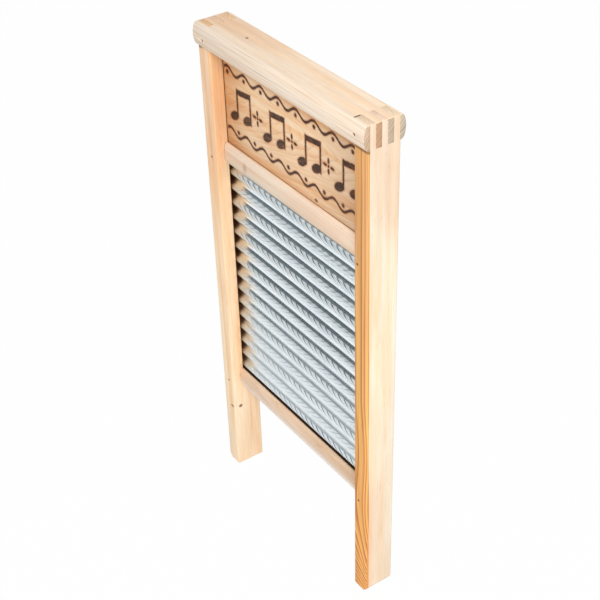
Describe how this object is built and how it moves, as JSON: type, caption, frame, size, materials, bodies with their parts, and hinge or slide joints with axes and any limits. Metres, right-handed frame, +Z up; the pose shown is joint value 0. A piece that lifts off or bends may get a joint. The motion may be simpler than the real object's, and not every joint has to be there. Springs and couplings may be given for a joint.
{
  "type": "washboard frottoir",
  "caption": "Hand-held musical washboard: pine frame with rounded head rail, plain name board and corrugated galvanised sheet with rope-twisted ridges, on two straight legs",
  "frame": {"origin": "on the ground plane midway between the two feet, under the middle of the frame", "axes": "+Z up along the stiles, +X to the right as the front is seen, +Y to the rear, so the playing side faces -Y"},
  "size_m": [0.219, 0.036, 0.457],
  "materials": {
    "stile_wood": "bare, planed",
    "head_wood": "bare, planed",
    "rail_wood": "bare, planed",
    "board_wood": "bare, planed",
    "galvanised_sheet": "galvanised, bright",
    "brad_steel": "dull, slightly rusted"
  },
  "bodies": {
    "root": {"left_stile": "stile_wood", "right_stile": "stile_wood", "top_rail": "head_wood", "mid_rail": "rail_wood", "bottom_rail": "rail_wood", "name_panel": "board_wood", "rub_sheet": "galvanised_sheet", "top_brad_left": "brad_steel", "top_brad_right": "brad_steel", "mid_brad_left": "brad_steel", "mid_brad_right": "brad_steel", "bottom_brad_left": "brad_steel", "bottom_brad_right": "brad_steel"}
  },
  "joints": []
}
